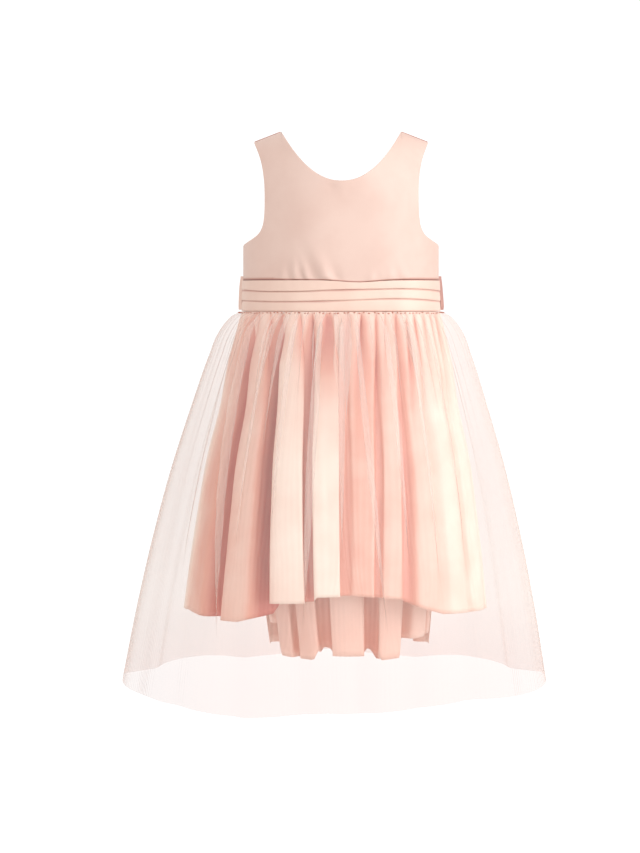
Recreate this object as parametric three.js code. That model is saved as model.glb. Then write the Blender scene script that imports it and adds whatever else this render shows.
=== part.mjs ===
// Toddler party dress: sleeveless satin bodice, tucked waistband, gathered satin skirt and lining,
// and a long tulle overskirt, all filled out as if worn, hollow, with no wearer.
// Millimetres, +Z up, the front towards -Y. Left and right are as someone facing the front sees them.
// The origin is midway between the shoulders, level with the neck ends of the shoulder seams.
import * as THREE from "three";
import { mergeVertices } from "three/addons/utils/BufferGeometryUtils.js";

// Seams and walls
const SEAM_GAP = 0.3;
const BODICE_WALL = 1.5;
const SKIRT_WALL = 1;

// Bodice form: an upright oval tube that closes in an arch over the shoulders
const CHEST_HALF_WIDTH = 102.5;
const CHEST_HALF_DEPTH = 75;
const ARCH_HEIGHT = 85;

// Neckline and shoulder seams
const NECK_HALF_WIDTH = 62.5;
const FRONT_NECK_DEPTH = 54;
const BACK_NECK_DEPTH = 58;
const NECK_ROUNDNESS = 2.15;
const SHOULDER_SLOPE = 0.386;

// Armhole edge from the strap's tip to the top of the side seam
const ARMHOLE = [
  { reach: 91, z: -11 },
  { reach: 83.5, z: -31 },
  { reach: 80, z: -52 },
  { reach: 79.5, z: -74 },
  { reach: 80.5, z: -92 },
  { reach: 83, z: -102 },
  { reach: 88.5, z: -109.5 },
  { reach: 102.5, z: -118.5 },
];

// Waistband of three folded tucks, each standing out a little more than the one above
const WAIST_TOP = -155;
const WAIST_BOTTOM = -187;
const BAND_INNER_OFFSET = -1.3;
const TUCKS = [
  { topOffset: 0.4, foldOffset: 2.0 },
  { topOffset: 0.9, foldOffset: 2.5 },
  { topOffset: 1.4, foldOffset: 3.0 },
];
const FOLD_LIP = 0.5;

// Belt loops at the side seams: a narrow strip that stands off the band
const LOOP_WIDTH = 6;
const LOOP_THICKNESS = 1.2;
const LOOP_LINE = [
  { offset: 0.3, z: -149.5 },
  { offset: 0.3, z: -152.5 },
  { offset: 3.2, z: -156 },
  { offset: 5.2, z: -162 },
  { offset: 5.7, z: -170 },
  { offset: 5.4, z: -178 },
  { offset: 4.4, z: -183 },
  { offset: 3.3, z: -185.5 },
];

// Covered buttons at the centre back, sewn just left of the closing edges
const BUTTON_RADIUS = 5.5;
const BUTTON_HEIGHT = 4;
const BUTTON_X = -6.5;
const BUTTON_HEIGHTS = [-68, -98, -128, -171];
const BUTTON_STANDOFF = 0.45;
const BUTTON_PROFILE = [
  { radiusShare: 0, heightShare: 0 },
  { radiusShare: 0.8, heightShare: 0 },
  { radiusShare: 1, heightShare: 0.3 },
  { radiusShare: 0.9, heightShare: 0.65 },
  { radiusShare: 0.55, heightShare: 0.92 },
  { radiusShare: 0, heightShare: 1 },
];

// How finely the cloth is faceted
const NECK_COLUMNS = 6;
const STRAP_COLUMNS = 4;
const PANEL_ROW_HEIGHTS = [-11, -14, -20, -30, -42, -56, -71, -86, -97, -104, -110, -114.5, -118.5, -136];
const BAND_COLUMNS = 22;
const BUTTON_SIDES = 10;
const ARMHOLE_SAMPLES = 60;
const REACH_PASSES = 4;
const ROUNDING = 0.01;

// Skirt layers. Each ring gives the reach of the fold crests from the middle, and the depth of the
// folds below them. Each ridge gives where a crest runs, as an angle round the waist and round the
// hem (0 is the centre front, 90 the right side seam), how far it sinks below full reach, and how
// deep the valley after it is, both as shares of the fold depth.
const TULLE = {
  steps: 4,
  bulge: 0.07,
  tube: 0.04,
  shift: -7,
  rings: [
    { z: -187.3, halfWidth: 105.2, halfDepth: 77.7, fold: 0 },
    { z: -191, halfWidth: 113, halfDepth: 86, fold: 2 },
    { z: -197, halfWidth: 119.5, halfDepth: 92.5, fold: 4.5 },
    { z: -209, halfWidth: 128, halfDepth: 100, fold: 7 },
    { z: -234, halfWidth: 138, halfDepth: 110, fold: 9 },
    { z: -285, halfWidth: 155, halfDepth: 127, fold: 10 },
    { z: -350, halfWidth: 175, halfDepth: 145, fold: 11 },
    { z: -425, halfWidth: 194, halfDepth: 162, fold: 11 },
    { z: -500, halfWidth: 210, halfDepth: 176, fold: 11 },
    { z: -575, halfWidth: 223.5, halfDepth: 187, fold: 12 },
  ],
  ridges: [
    { waist: -90, hem: -90, sunk: 0, valley: 0.6 },
    { waist: -78, hem: -76, sunk: 0.1, valley: 0.8 },
    { waist: -67, hem: -64, sunk: 0, valley: 0.7 },
    { waist: -57, hem: -53, sunk: 0.2, valley: 0.6 },
    { waist: -47, hem: -42, sunk: 0, valley: 0.9 },
    { waist: -37, hem: -30, sunk: 0, valley: 1 },
    { waist: -26, hem: -19, sunk: 0.2, valley: 0.6 },
    { waist: -15, hem: -8, sunk: 0, valley: 1 },
    { waist: -4, hem: 1, sunk: 0.3, valley: 0.5 },
    { waist: 8, hem: 10, sunk: 0.2, valley: 0.7 },
    { waist: 20, hem: 19, sunk: 0, valley: 1 },
    { waist: 31, hem: 30, sunk: 0.2, valley: 0.6 },
    { waist: 42, hem: 41, sunk: 0, valley: 0.9 },
    { waist: 53, hem: 53, sunk: 0.1, valley: 0.6 },
    { waist: 65, hem: 65, sunk: 0, valley: 0.8 },
    { waist: 77, hem: 78, sunk: 0.1, valley: 0.6 },
  ],
  backFolds: 14,
  backRhythm: [0.6, 0.95, 0.7, 0.85],
  hemLobes: [
    { angle: -25, halfSpan: 13, drop: 14 },
    { angle: 4, halfSpan: 14, drop: 5 },
    { angle: 118, halfSpan: 16, drop: 7 },
    { angle: 190, halfSpan: 18, drop: 6 },
    { angle: 243, halfSpan: 14, drop: 9 },
  ],
};

const SATIN = {
  steps: 6,
  bulge: 0.1,
  tube: 0.07,
  shift: -6,
  rings: [
    { z: -187.3, halfWidth: 103.8, halfDepth: 76.3, fold: 0 },
    { z: -196, halfWidth: 106.5, halfDepth: 79.5, fold: 3 },
    { z: -212, halfWidth: 110.5, halfDepth: 84.5, fold: 6.5 },
    { z: -240, halfWidth: 117.5, halfDepth: 92, fold: 11 },
    { z: -285, halfWidth: 125, halfDepth: 100, fold: 17 },
    { z: -340, halfWidth: 138, halfDepth: 111, fold: 22 },
    { z: -390, halfWidth: 146, halfDepth: 118, fold: 26 },
    { z: -440, halfWidth: 153, halfDepth: 124, fold: 29 },
    { z: -499, halfWidth: 160, halfDepth: 130, fold: 31 },
  ],
  ridges: [
    { waist: -90, hem: -90, sunk: 0, valley: 0.5 },
    { waist: -79, hem: -77, sunk: 0.1, valley: 0.6 },
    { waist: -65, hem: -62.5, sunk: 0, valley: 0.9 },
    { waist: -45, hem: -36, sunk: 0.1, valley: 1.1 },
    { waist: -27, hem: -16, sunk: 0, valley: 0.9 },
    { waist: -11, hem: -3.5, sunk: 0.1, valley: 0.6 },
    { waist: 2, hem: 6, sunk: 0.55, valley: 0.3 },
    { waist: 15, hem: 16.5, sunk: 0, valley: 0.9 },
    { waist: 32, hem: 30.5, sunk: 0.1, valley: 0.6 },
    { waist: 48, hem: 46, sunk: 0, valley: 0.5 },
    { waist: 63, hem: 62.5, sunk: 0.1, valley: 0.5 },
    { waist: 77, hem: 77, sunk: 0, valley: 0.4 },
  ],
  backFolds: 9,
  backRhythm: [0.7, 0.95, 0.6],
  hemLobes: [{ angle: 0, halfSpan: 38, drop: -24 }],
};

const LINING = {
  steps: 4,
  bulge: 0.08,
  tube: 0.03,
  shift: 9,
  rings: [
    { z: -187.3, halfWidth: 102.4, halfDepth: 74.9, fold: 0 },
    { z: -210, halfWidth: 101, halfDepth: 74.5, fold: 2 },
    { z: -245, halfWidth: 101.5, halfDepth: 75.5, fold: 4 },
    { z: -290, halfWidth: 103, halfDepth: 77.5, fold: 7 },
    { z: -350, halfWidth: 103, halfDepth: 81, fold: 10 },
    { z: -410, halfWidth: 98, halfDepth: 83, fold: 13 },
    { z: -475, halfWidth: 91, halfDepth: 82, fold: 15 },
    { z: -538, halfWidth: 84, halfDepth: 80, fold: 16 },
  ],
  ridges: [
    { waist: -90, hem: -90, sunk: 0, valley: 0.7 },
    { waist: -66, hem: -63, sunk: 0.1, valley: 0.8 },
    { waist: -46, hem: -43, sunk: 0, valley: 1 },
    { waist: -26, hem: -23, sunk: 0.2, valley: 0.6 },
    { waist: -6, hem: -3, sunk: 0, valley: 0.7 },
    { waist: 16, hem: 17, sunk: 0, valley: 1 },
    { waist: 37, hem: 38, sunk: 0.2, valley: 0.8 },
    { waist: 62, hem: 62, sunk: 0, valley: 0.7 },
  ],
  backFolds: 6,
  backRhythm: [0.8, 1],
  hemLobes: [{ angle: -6, halfSpan: 40, drop: 9 }],
};

const { lerp, degToRad } = THREE.MathUtils;

// Material of one kind of cloth.
function cloth(color, roughness, opacity = 1) {
  return new THREE.MeshStandardMaterial({ color, roughness, metalness: 0, opacity, transparent: opacity < 1 });
}

// Closed solid between two grids of points of the same size. Rows run down, columns to the right
// as seen from outside, each cell is split along its shorter diagonal, and the rims are joined.
function closedWall(outer, inner) {
  const rows = outer.length;
  const columns = outer[0].length;
  const points = [...outer.flat(), ...inner.flat()];
  const index = [];
  const face = (r, c) => r * columns + c;
  const lining = (r, c) => (rows + r) * columns + c;
  const quad = (a, b, c, d) => {
    const shorter = points[a].distanceTo(points[c]) <= points[b].distanceTo(points[d]);
    index.push(...(shorter ? [a, b, c, a, c, d] : [a, b, d, b, c, d]));
  };
  for (let r = 0; r < rows - 1; r += 1) {
    for (let c = 0; c < columns - 1; c += 1) {
      quad(face(r, c), face(r + 1, c), face(r + 1, c + 1), face(r, c + 1));
      quad(lining(r, c), lining(r, c + 1), lining(r + 1, c + 1), lining(r + 1, c));
    }
  }
  for (let c = 0; c < columns - 1; c += 1) {
    quad(face(0, c), face(0, c + 1), lining(0, c + 1), lining(0, c));
    quad(lining(rows - 1, c), lining(rows - 1, c + 1), face(rows - 1, c + 1), face(rows - 1, c));
  }
  for (let r = 0; r < rows - 1; r += 1) {
    quad(face(r, 0), lining(r, 0), lining(r + 1, 0), face(r + 1, 0));
    quad(face(r, columns - 1), face(r + 1, columns - 1), lining(r + 1, columns - 1), lining(r, columns - 1));
  }
  const geometry = new THREE.BufferGeometry();
  const positions = points.flatMap((point) => point.toArray());
  geometry.setAttribute("position", new THREE.Float32BufferAttribute(positions, 3));
  geometry.setIndex(index);
  geometry.computeVertexNormals();
  return geometry;
}

// The grid's points moved inwards by the wall, along the surface's normals. flatAxes(row, column)
// names the axes along which the wall must not lean there, so that seams and hems stay in plane.
function inset(grid, wall, flatAxes) {
  const lastRow = grid.length - 1;
  const lastColumn = grid[0].length - 1;
  return grid.map((row, r) =>
    row.map((point, c) => {
      const across = grid[r][Math.min(c + 1, lastColumn)].clone().sub(grid[r][Math.max(c - 1, 0)]);
      const down = grid[Math.min(r + 1, lastRow)][c].clone().sub(grid[Math.max(r - 1, 0)][c]);
      const normal = down.cross(across);
      for (const axis of flatAxes(r, c, lastRow, lastColumn)) normal[axis] = 0;
      return point.clone().addScaledVector(normal.normalize(), -wall);
    }),
  );
}

// Height of the shoulder seam's line at a distance from the middle.
function shoulderHeight(x) {
  return -SHOULDER_SLOPE * (Math.abs(x) - NECK_HALF_WIDTH);
}

// Length of cloth from the shoulder line down to a depth below it, over the arch and down the chest.
function lengthAtDepth(depth) {
  if (depth >= ARCH_HEIGHT) return (ARCH_HEIGHT * Math.PI) / 2 + depth - ARCH_HEIGHT;
  return ARCH_HEIGHT * Math.acos(1 - depth / ARCH_HEIGHT);
}

// Depth below the shoulder line that a length of cloth reaches: the inverse of lengthAtDepth.
function depthAtLength(length) {
  const overArch = (ARCH_HEIGHT * Math.PI) / 2;
  if (length >= overArch) return ARCH_HEIGHT + length - overArch;
  return ARCH_HEIGHT * (1 - Math.cos(length / ARCH_HEIGHT));
}

// Point of the bodice's outer surface. side is -1 for the front and 1 for the back.
function bodicePoint(x, z, side) {
  const rise = Math.min(1, Math.max(0, shoulderHeight(x) - z) / ARCH_HEIGHT);
  const halfDepth = CHEST_HALF_DEPTH * Math.sqrt(1 - (1 - rise) ** 2);
  const roundness = Math.sqrt(Math.max(0, 1 - (x / CHEST_HALF_WIDTH) ** 2));
  return new THREE.Vector3(x, side * (halfDepth * roundness + SEAM_GAP / 2), z);
}

// Distance from the middle to the armhole edge, or below it to the side seam, at a height.
const armholeLine = new THREE.SplineCurve(ARMHOLE.map(({ reach, z }) => new THREE.Vector2(reach, z)));
const armholePoints = armholeLine.getPoints(ARMHOLE_SAMPLES);
function outerReach(z) {
  const below = armholePoints.findIndex((point) => point.y <= z);
  if (below === 0) return armholePoints[0].x;
  if (below < 0) return CHEST_HALF_WIDTH;
  const [upper, lower] = [armholePoints[below - 1], armholePoints[below]];
  return lerp(lower.x, upper.x, (z - lower.y) / (upper.y - lower.y));
}

// Columns of a half panel from the middle to the outer edge: each has its share of the outer reach
// and the height where it ends, on the neckline or on the shoulder seam.
function halfPanelColumns(neckDepth) {
  const columns = [];
  for (let i = 0; i <= NECK_COLUMNS; i += 1) {
    const x = NECK_HALF_WIDTH * Math.sin((Math.PI / 2) * (i / NECK_COLUMNS));
    const top = -neckDepth * (1 - (x / NECK_HALF_WIDTH) ** NECK_ROUNDNESS);
    columns.push({ share: x / outerReach(top), top, onShoulder: i === NECK_COLUMNS });
  }
  const neckAngle = Math.asin(columns.at(-1).share);
  for (let i = 1; i <= STRAP_COLUMNS; i += 1) {
    const share = Math.sin(lerp(neckAngle, Math.PI / 2, i / STRAP_COLUMNS));
    columns.push({ share, top: shoulderHeight(share * ARMHOLE[0].reach), onShoulder: true });
  }
  return columns;
}

// One bodice panel. side is -1 for the front and 1 for the back, and halves lists the signs of x that
// it covers, in the order that runs to the right as seen from outside.
function bodicePanel(side, neckDepth, halves) {
  const half = halfPanelColumns(neckDepth);
  const rightward = (sign) => half.map((column) => ({ ...column, share: sign * column.share }));
  const columns = [];
  for (const sign of halves) {
    const ordered = sign * side < 0 ? rightward(sign) : rightward(sign).reverse();
    const joined = columns.length > 0 ? ordered.slice(1) : ordered;
    columns.push(...joined);
  }
  const edgeTop = shoulderHeight(ARMHOLE[0].reach);
  const edgeLength = lengthAtDepth(edgeTop - WAIST_TOP);
  const shares = [...PANEL_ROW_HEIGHTS, WAIST_TOP].map((z) => lengthAtDepth(Math.max(0, edgeTop - z)) / edgeLength);
  const grid = shares.map((share, r) =>
    columns.map((column) => {
      const topX = column.share * outerReach(column.top);
      const start = lengthAtDepth(shoulderHeight(topX) - column.top);
      const end = lengthAtDepth(shoulderHeight(column.share * CHEST_HALF_WIDTH) - WAIST_TOP);
      const depth = depthAtLength(lerp(start, end, share));
      let z = r === 0 ? column.top : shoulderHeight(topX) - depth;
      for (let pass = 0; pass < REACH_PASSES && r > 0; pass += 1) {
        z = shoulderHeight(column.share * outerReach(z)) - depth;
      }
      if (r === shares.length - 1) z = WAIST_TOP;
      return bodicePoint(column.share * outerReach(z), z, side);
    }),
  );
  const flatAxes = (r, c, lastRow) => {
    const axes = [];
    const column = columns[c];
    const onEdge = c === 0 || c === columns.length - 1;
    const onSideSeam = onEdge && column.share !== 0 && grid[r][c].z <= ARMHOLE.at(-1).z + ROUNDING;
    if (r === lastRow) axes.push("z");
    if (onSideSeam || (r === 0 && column.onShoulder)) axes.push("y");
    if (column.share === 0) axes.push("x");
    return axes;
  };
  return closedWall(grid, inset(grid, BODICE_WALL, flatAxes));
}

// Oval section of the waist at an offset from the chest form. The angle is 0 at the centre front.
function waistPoint(angle, offset, z, side, trim = 0) {
  const x = (CHEST_HALF_WIDTH + offset) * Math.sin(angle) + trim;
  const y = -(CHEST_HALF_DEPTH + offset) * Math.cos(angle) + (side * SEAM_GAP) / 2;
  return new THREE.Vector3(x, y, z);
}

// One piece of the waistband, between two angles in degrees.
function bandPiece(side, from, to, trim) {
  const tuckHeight = (WAIST_TOP - SEAM_GAP - WAIST_BOTTOM) / TUCKS.length;
  const profile = TUCKS.flatMap(({ topOffset, foldOffset }, i) => {
    const top = WAIST_TOP - SEAM_GAP - i * tuckHeight;
    return [
      { offset: topOffset, z: top },
      { offset: foldOffset, z: top - tuckHeight + FOLD_LIP },
    ];
  });
  profile.push({ offset: TUCKS.at(-1).foldOffset, z: WAIST_BOTTOM });
  const steps = Math.round((BAND_COLUMNS * Math.abs(to - from)) / 180);
  const gridAt = (offsetOf) =>
    profile.map((level) =>
      Array.from({ length: steps + 1 }, (_, c) =>
        waistPoint(degToRad(lerp(from, to, c / steps)), offsetOf(level), level.z, side, trim),
      ),
    );
  return closedWall(gridAt((level) => level.offset), gridAt(() => BAND_INNER_OFFSET));
}

// How far the hem drops, or rises if negative, at an angle in degrees.
function hemDrop(layer, angle) {
  return layer.hemLobes.reduce((sum, { angle: middle, halfSpan, drop }) => {
    const away = THREE.MathUtils.euclideanModulo(angle - middle + 180, 360) - 180;
    return sum + drop * Math.exp(-((away / halfSpan) ** 2));
  }, 0);
}

// One panel of a skirt layer, from one crest at a side seam to the crest at the other. The bulge
// widens each crest at the valley's cost, and the tube makes the fold's flanks steeper.
function skirtPanel(layer, side) {
  const { rings, steps, bulge, tube, shift } = layer;
  const backWidth = 180 / layer.backFolds;
  const backRidges = Array.from({ length: layer.backFolds }, (_, i) => ({
    waist: 90 + i * backWidth,
    hem: 90 + i * backWidth,
    sunk: 0,
    valley: layer.backRhythm[i % layer.backRhythm.length],
  }));
  const ridges = side < 0 ? layer.ridges : backRidges;
  const seam = side < 0 ? 90 : 270;
  const lastRidge = { waist: seam, hem: seam, sunk: 0, valley: 0 };
  const lines = ridges.flatMap((ridge, i) => {
    const next = ridges[i + 1] ?? lastRidge;
    return Array.from({ length: steps }, (_, k) => {
      const share = k / steps;
      const swell = bulge * Math.sin(2 * Math.PI * share) + tube * Math.sin(4 * Math.PI * share);
      const rounded = share + swell;
      return {
        waist: lerp(ridge.waist, next.waist, rounded),
        hem: lerp(ridge.hem, next.hem, rounded),
        sink: lerp(ridge.sunk, next.sunk, share) + ridge.valley * Math.sin(Math.PI * share) ** 2,
      };
    });
  });
  lines.push({ ...lastRidge, sink: 0 });
  const [top, bottom] = [rings[0].z, rings.at(-1).z];
  const grid = rings.map(({ z, halfWidth, halfDepth, fold }) => {
    const down = (top - z) / (top - bottom);
    return lines.map(({ waist, hem, sink }) => {
      const degrees = lerp(waist, hem, down);
      const angle = degToRad(degrees);
      const x = shift * down + (halfWidth - sink * fold) * Math.sin(angle);
      const y = -(halfDepth - sink * fold) * Math.cos(angle) + (side * SEAM_GAP) / 2;
      return new THREE.Vector3(x, y, z - hemDrop(layer, degrees) * down ** 3);
    });
  });
  const flatAxes = (r, c, lastRow, lastColumn) => {
    const axes = [];
    if (r === 0 || r === lastRow) axes.push("z");
    if (c === 0 || c === lastColumn) axes.push("y");
    return axes;
  };
  return closedWall(grid, inset(grid, SKIRT_WALL, flatAxes));
}

// Belt loop: the strip's side outline, extruded through its width. xSign is -1 on the left.
function beltLoop(xSign) {
  const at = ({ offset, z }, extra) => new THREE.Vector2(CHEST_HALF_WIDTH + offset + extra, z);
  const outline = [
    ...LOOP_LINE.map((row) => at(row, 0)),
    ...LOOP_LINE.map((row) => at(row, LOOP_THICKNESS)).reverse(),
  ];
  const geometry = new THREE.ExtrudeGeometry(new THREE.Shape(outline), {
    depth: LOOP_WIDTH,
    bevelEnabled: false,
  });
  geometry.rotateX(Math.PI / 2);
  geometry.translate(0, LOOP_WIDTH / 2, 0);
  if (xSign < 0) geometry.rotateZ(Math.PI);
  return geometry;
}

// Covered button: a low dome with a flat underside, its axis along +Y.
function button() {
  const profile = BUTTON_PROFILE.map(
    ({ radiusShare, heightShare }) => new THREE.Vector2(BUTTON_RADIUS * radiusShare, BUTTON_HEIGHT * heightShare),
  );
  const lathe = new THREE.LatheGeometry(profile, BUTTON_SIDES);
  lathe.deleteAttribute("normal");
  lathe.deleteAttribute("uv");
  return mergeVertices(lathe, ROUNDING);
}

const bodiceSatin = cloth(0xf3d5c8, 0.45);
const bandSatin = cloth(0xf3d3c3, 0.45);
const skirtSatin = cloth(0xf2c9b8, 0.45);
const liningCloth = cloth(0xe9bcae, 0.6);
const tulleNet = cloth(0xf6e6df, 0.8, 0.4);

const dress = new THREE.Group();
function add(name, geometry, material) {
  const mesh = new THREE.Mesh(geometry, material);
  mesh.name = name;
  dress.add(mesh);
  return mesh;
}

add("bodice_front", bodicePanel(-1, FRONT_NECK_DEPTH, [-1, 1]), bodiceSatin);
add("bodice_back_right", bodicePanel(1, BACK_NECK_DEPTH, [1]), bodiceSatin);
add("bodice_back_left", bodicePanel(1, BACK_NECK_DEPTH, [-1]), bodiceSatin);
add("waistband_front", bandPiece(-1, -90, 90, 0), bandSatin);
add("waistband_back_right", bandPiece(1, 90, 180, SEAM_GAP / 2), bandSatin);
add("waistband_back_left", bandPiece(1, 180, 270, -SEAM_GAP / 2), bandSatin);
add("belt_loop_left", beltLoop(-1), bandSatin);
add("belt_loop_right", beltLoop(1), bandSatin);
add("lining_front", skirtPanel(LINING, -1), liningCloth);
add("lining_back", skirtPanel(LINING, 1), liningCloth);
add("satin_skirt_front", skirtPanel(SATIN, -1), skirtSatin);
add("satin_skirt_back", skirtPanel(SATIN, 1), skirtSatin);
add("tulle_skirt_front", skirtPanel(TULLE, -1), tulleNet);
add("tulle_skirt_back", skirtPanel(TULLE, 1), tulleNet);
BUTTON_HEIGHTS.forEach((z, i) => {
  const onBand = z < WAIST_TOP;
  const seat = CHEST_HALF_DEPTH + (onBand ? TUCKS[1].foldOffset : 0) + BUTTON_STANDOFF;
  add(`back_button_${i + 1}`, button(), bodiceSatin).position.set(BUTTON_X, seat, z);
});

export default dress;
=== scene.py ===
import math

import bpy
import numpy as np
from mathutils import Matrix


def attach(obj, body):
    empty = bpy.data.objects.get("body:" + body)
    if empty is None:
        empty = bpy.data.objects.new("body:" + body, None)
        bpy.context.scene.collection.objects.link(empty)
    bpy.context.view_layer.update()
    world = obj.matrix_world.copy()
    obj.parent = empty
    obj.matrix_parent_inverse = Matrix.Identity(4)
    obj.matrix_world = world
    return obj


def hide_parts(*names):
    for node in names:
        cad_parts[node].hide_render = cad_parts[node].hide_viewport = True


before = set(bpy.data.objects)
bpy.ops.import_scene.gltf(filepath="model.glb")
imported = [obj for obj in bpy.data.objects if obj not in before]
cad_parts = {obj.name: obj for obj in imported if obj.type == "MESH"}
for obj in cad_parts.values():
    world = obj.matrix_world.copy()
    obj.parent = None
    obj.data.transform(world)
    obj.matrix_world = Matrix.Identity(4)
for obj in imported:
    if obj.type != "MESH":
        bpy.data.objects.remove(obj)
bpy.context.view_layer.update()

# Camera and studio: a straight view of the front from waist height, 2.5 m away through a long lens.
# A pale floor lies below the hem. A broad soft light shines from the right and a weaker one from the
# front, and the white room is a little dimmer on the left.
CAMERA_PLACE = (-0.022, -2.49, -0.170)
CAMERA_TILT_DOWN = math.radians(3.18)
LENS_MM = 100
SENSOR_HEIGHT_MM = 36
FLOOR_HEIGHT = -0.95
FLOOR_SIZE = 60
FLOOR_WHITE = (0.86, 0.85, 0.84, 1)
ROOM_WHITE = (1, 0.985, 0.97, 1)
ROOM_LIGHT_LEFT = 0.8075
ROOM_LIGHT_RIGHT = 1.045
PURE_WHITE = {"Color": (1, 1, 1, 1), "Strength": 1.1}
SOFT_LIGHTS = [
    {"name": "key_light", "from_right": 62, "above": 14, "strength": 2.1, "spread": 52},
    {"name": "front_fill", "from_right": -20, "above": 20, "strength": 0.75, "spread": 80},
]

camera_data = bpy.data.cameras.new("photo_camera")
camera_data.lens = LENS_MM
camera_data.sensor_fit = "VERTICAL"
camera_data.sensor_height = SENSOR_HEIGHT_MM
camera_data.clip_end = 100
camera = bpy.data.objects.new("photo_camera", camera_data)
camera.location = CAMERA_PLACE
camera.rotation_euler = (math.radians(90) - CAMERA_TILT_DOWN, 0, 0)
bpy.context.collection.objects.link(camera)
bpy.context.scene.camera = camera
bpy.context.scene.view_settings.view_transform = "Standard"
bpy.context.scene.cycles.transparent_max_bounces = 32

for light in SOFT_LIGHTS:
    sun_data = bpy.data.lights.new(light["name"], "SUN")
    sun_data.energy = light["strength"]
    sun_data.angle = math.radians(light["spread"])
    sun = bpy.data.objects.new(light["name"], sun_data)
    sun.rotation_euler = (math.radians(90 - light["above"]), 0, math.radians(light["from_right"]))
    bpy.context.collection.objects.link(sun)


def add_node(tree, kind, settings, **links):
    """Adds one shader node: settings fill its sockets or properties, and links feed its sockets."""
    node = tree.nodes.new(kind)
    for key, value in settings.items():
        if isinstance(key, int) or key in node.inputs:
            node.inputs[key].default_value = value
        else:
            setattr(node, key, value)
    for key, source in links.items():
        target = node.inputs[int(key[1:])] if key[1:].isdigit() else node.inputs[key.replace("_", " ")]
        tree.links.new(source, target)
    return node


def white_to_camera(tree, surface, white):
    """Joins two shaders: what the camera sees is white, and what lights the object is the surface."""
    ray = add_node(tree, "ShaderNodeLightPath", {})
    to_camera = ray.outputs["Is Camera Ray"]
    surface, white = surface.outputs[0], white.outputs[0]
    return add_node(tree, "ShaderNodeMixShader", {}, Fac=to_camera, i1=surface, i2=white)


def ramp(tree, source, start, end, low, high):
    """A value that grows evenly from low to high while the source goes from start to end, and stays there."""
    settings = {"From Min": start, "From Max": end, "To Min": low, "To Max": high}
    return add_node(tree, "ShaderNodeMapRange", settings, Value=source).outputs["Result"]


room = bpy.data.worlds.new("white_room")
room.use_nodes = True
room.node_tree.nodes.clear()
seen = add_node(room.node_tree, "ShaderNodeBackground", PURE_WHITE)
towards = add_node(room.node_tree, "ShaderNodeTexCoord", {})
sideways = add_node(room.node_tree, "ShaderNodeSeparateXYZ", {}, Vector=towards.outputs["Generated"])
level = ramp(room.node_tree, sideways.outputs["X"], -1, 1, ROOM_LIGHT_LEFT, ROOM_LIGHT_RIGHT)
lit = add_node(room.node_tree, "ShaderNodeBackground", {"Color": ROOM_WHITE}, Strength=level)
mixed = white_to_camera(room.node_tree, lit, seen)
add_node(room.node_tree, "ShaderNodeOutputWorld", {}, Surface=mixed.outputs[0])
bpy.context.scene.world = room

floor_mesh = bpy.data.meshes.new("floor")
half = FLOOR_SIZE / 2
corners = [(-half, -half), (half, -half), (half, half), (-half, half)]
floor_mesh.from_pydata([(x, y, FLOOR_HEIGHT) for x, y in corners], [], [(0, 1, 2, 3)])
floor = bpy.data.objects.new("floor", floor_mesh)
floor_paint = bpy.data.materials.new("matt_white_paint")
floor_paint.use_nodes = True
tree = floor_paint.node_tree
tree.nodes.clear()
matt = add_node(tree, "ShaderNodeBsdfDiffuse", {"Color": FLOOR_WHITE})
overexposed = add_node(tree, "ShaderNodeEmission", PURE_WHITE)
add_node(tree, "ShaderNodeOutputMaterial", {}, Surface=white_to_camera(tree, matt, overexposed).outputs[0])
floor_mesh.materials.append(floor_paint)
bpy.context.collection.objects.link(floor)

# Bodice: a front and two backs cut from duchess satin, joined over the shoulders and down the sides.
# Each panel lies on the chest form: an upright oval tube that closes in an arch over the shoulders.
# Soft creases rise from the waist seam, where the fuller chest is drawn into the band.
CHEST_HALF_WIDTH = 102.5
CHEST_HALF_DEPTH = 75
ARCH_HEIGHT = 85
NECK_HALF_WIDTH = 62.5
NECK_DEPTHS = {-1: 54, 1: 58}
NECK_ROUNDNESS = 2.15
SHOULDER_SLOPE = 0.386
ARMHOLE = [
    (91, -11), (83.5, -31), (80, -52), (79.5, -74),
    (80.5, -92), (83, -102), (88.5, -109.5), (102.5, -118.5),
]
WAIST_TOP = -155
WAIST_DIP = {"x": 17, "half_width": 24, "depth": 2.2}
SEAM_GAP = 0.3
SATIN_THICKNESS = 1.2
NECK_COLUMNS = 44
NECK_EVEN_SPACING = 0.25
STRAP_COLUMNS = 26
BODICE_ROWS = 120
BROAD_WAVES = {"height": 1.1, "crest_x": -32, "half_length": 44, "start": -30, "full_after": 60}
CALM_AT_SIDE_SEAMS = {"margin": 2, "width": 14}
CREASE_HOLLOW = {"share": 0.6, "beside": 1.9}
SEAM_PULLS_FLAT_OVER = 0.04
SEAM_SHADES_OVER = 0.015
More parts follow.
